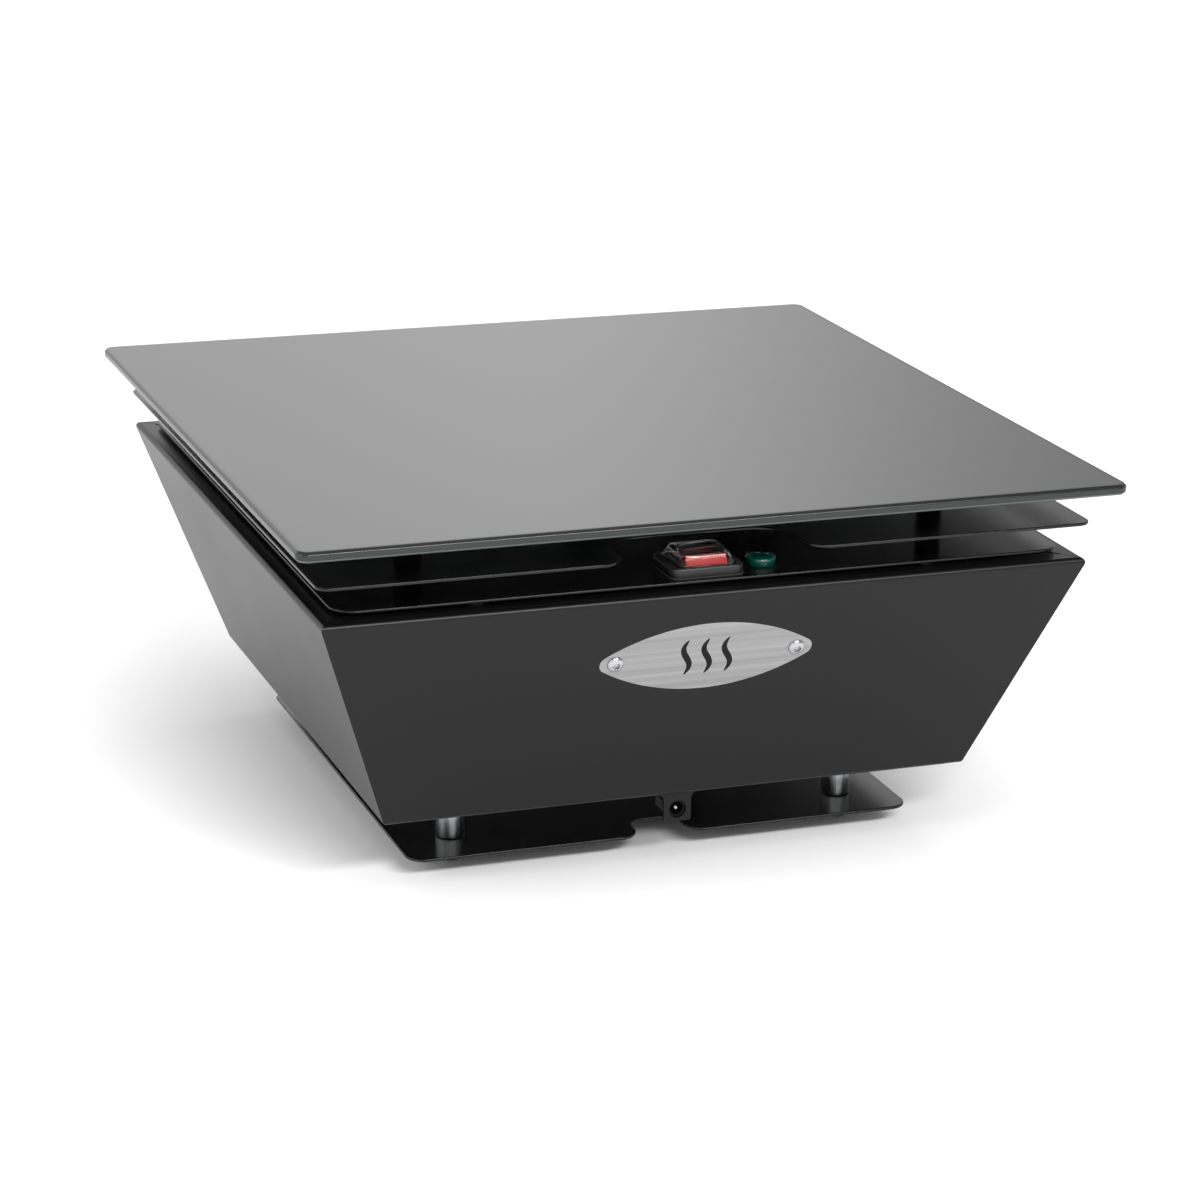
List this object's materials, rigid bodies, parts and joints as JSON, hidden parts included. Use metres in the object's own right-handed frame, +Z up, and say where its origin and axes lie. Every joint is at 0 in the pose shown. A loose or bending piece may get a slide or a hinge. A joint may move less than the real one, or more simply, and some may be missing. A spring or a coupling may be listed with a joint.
{
  "type": "warming base",
  "caption": "Square warming base: black glass hot plate on spacers over a tapered sheet metal case on posts and a base sheet, with a covered rocker switch, indicator and low voltage inlet.",
  "frame": {"origin": "middle of the footprint at floor level, under the rubber feet", "axes": "+Z up, -Y towards the front with the switch, badge and inlet, +X to the right seen from the front"},
  "size_m": [0.4, 0.4, 0.188],
  "materials": {
    "black_glass": "polished, tempered, black enamel behind",
    "heater_rubber": "matt silicone",
    "spreader_aluminium": "mill finish",
    "satin_black_steel": "satin black powder coat",
    "gloss_black_steel": "gloss black powder coat",
    "brushed_stainless": "brushed lengthways",
    "zinc_steel": "bright zinc",
    "post_aluminium": "turned",
    "black_rubber": "matt",
    "black_nylon": "fine moulded texture",
    "clear_silicone": "clear, soft",
    "red_rocker": "gloss, translucent red",
    "contact_brass": "stamped",
    "spring_steel": "drawn wire",
    "green_lens": "gloss, translucent green",
    "led_epoxy": "clear epoxy",
    "white_nylon": "moulded",
    "cell_wrap": "shrink wrap",
    "nickel": "nickel strip",
    "tray_steel": "zinc coated sheet",
    "board_laminate": "green solder mask",
    "part_plastic": "moulded",
    "red_lead": "silicone insulation",
    "grey_lead": "silicone insulation",
    "white_lead": "glass fibre sleeve"
  },
  "bodies": {
    "base": {"glass_plate": "black_glass", "heater_mat": "heater_rubber", "spreader_plate": "spreader_aluminium", "stack_studs": "zinc_steel", "thermal_cutout": "black_nylon", "heater_leads": "red_lead", "sensor_leads": "white_lead", "upper_spacers": "post_aluminium", "middle_plate": "gloss_black_steel", "lower_spacers": "post_aluminium", "cover_plate": "gloss_black_steel", "stack_nuts": "zinc_steel", "lead_grommets": "black_rubber", "cover_studs": "zinc_steel", "cover_washers": "black_nylon", "cover_nuts": "zinc_steel", "body_shell": "satin_black_steel", "bottom_panel": "satin_black_steel", "panel_screws": "zinc_steel", "panel_nuts": "zinc_steel", "posts": "post_aluminium", "post_screws": "zinc_steel", "base_plate": "gloss_black_steel", "feet": "black_rubber", "foot_screws": "zinc_steel", "switch_housing": "black_nylon", "switch_gasket": "black_rubber", "splash_cover": "clear_silicone", "rocker_pin": "spring_steel", "switch_terminals": "contact_brass", "lamp_lens": "green_lens", "lamp_body": "black_nylon", "lamp_nut": "black_nylon", "lamp_led": "led_epoxy", "badge": "brushed_stainless", "badge_screws": "zinc_steel", "badge_nuts": "zinc_steel", "inlet_jack": "black_nylon", "inlet_pin": "nickel", "inlet_contact": "nickel", "inlet_clip": "tray_steel", "inlet_leads": "red_lead", "battery_tray": "tray_steel", "battery_cells": "cell_wrap", "cell_holders": "black_nylon", "cell_links": "nickel", "battery_straps": "tray_steel", "battery_leads": "red_lead", "control_board": "board_laminate", "board_parts": "part_plastic", "board_heatsink": "spreader_aluminium", "board_spacers": "contact_brass", "board_screws": "zinc_steel", "switch_leads": "grey_lead", "lamp_leads": "grey_lead"},
    "rocker": {"rocker": "red_rocker", "plunger": "white_nylon", "plunger_spring": "spring_steel"},
    "contact_lever": {"contact_lever": "contact_brass"}
  },
  "joints": [
    {"name": "rocker_tilt", "type": "hinge", "parent": "base", "child": "rocker", "pos_m": [0, -0.1606, 0.1558], "axis": [1, 0, 0], "range_deg": [0, 22]},
    {"name": "lever_tilt", "type": "hinge", "parent": "base", "child": "contact_lever", "pos_m": [0, -0.1606, 0.1424], "axis": [1, 0, 0], "range_deg": [-11, 0]}
  ],
  "couplings": [
    {"joint": "lever_tilt", "follows": "rocker_tilt", "ratio": -0.5}
  ]
}
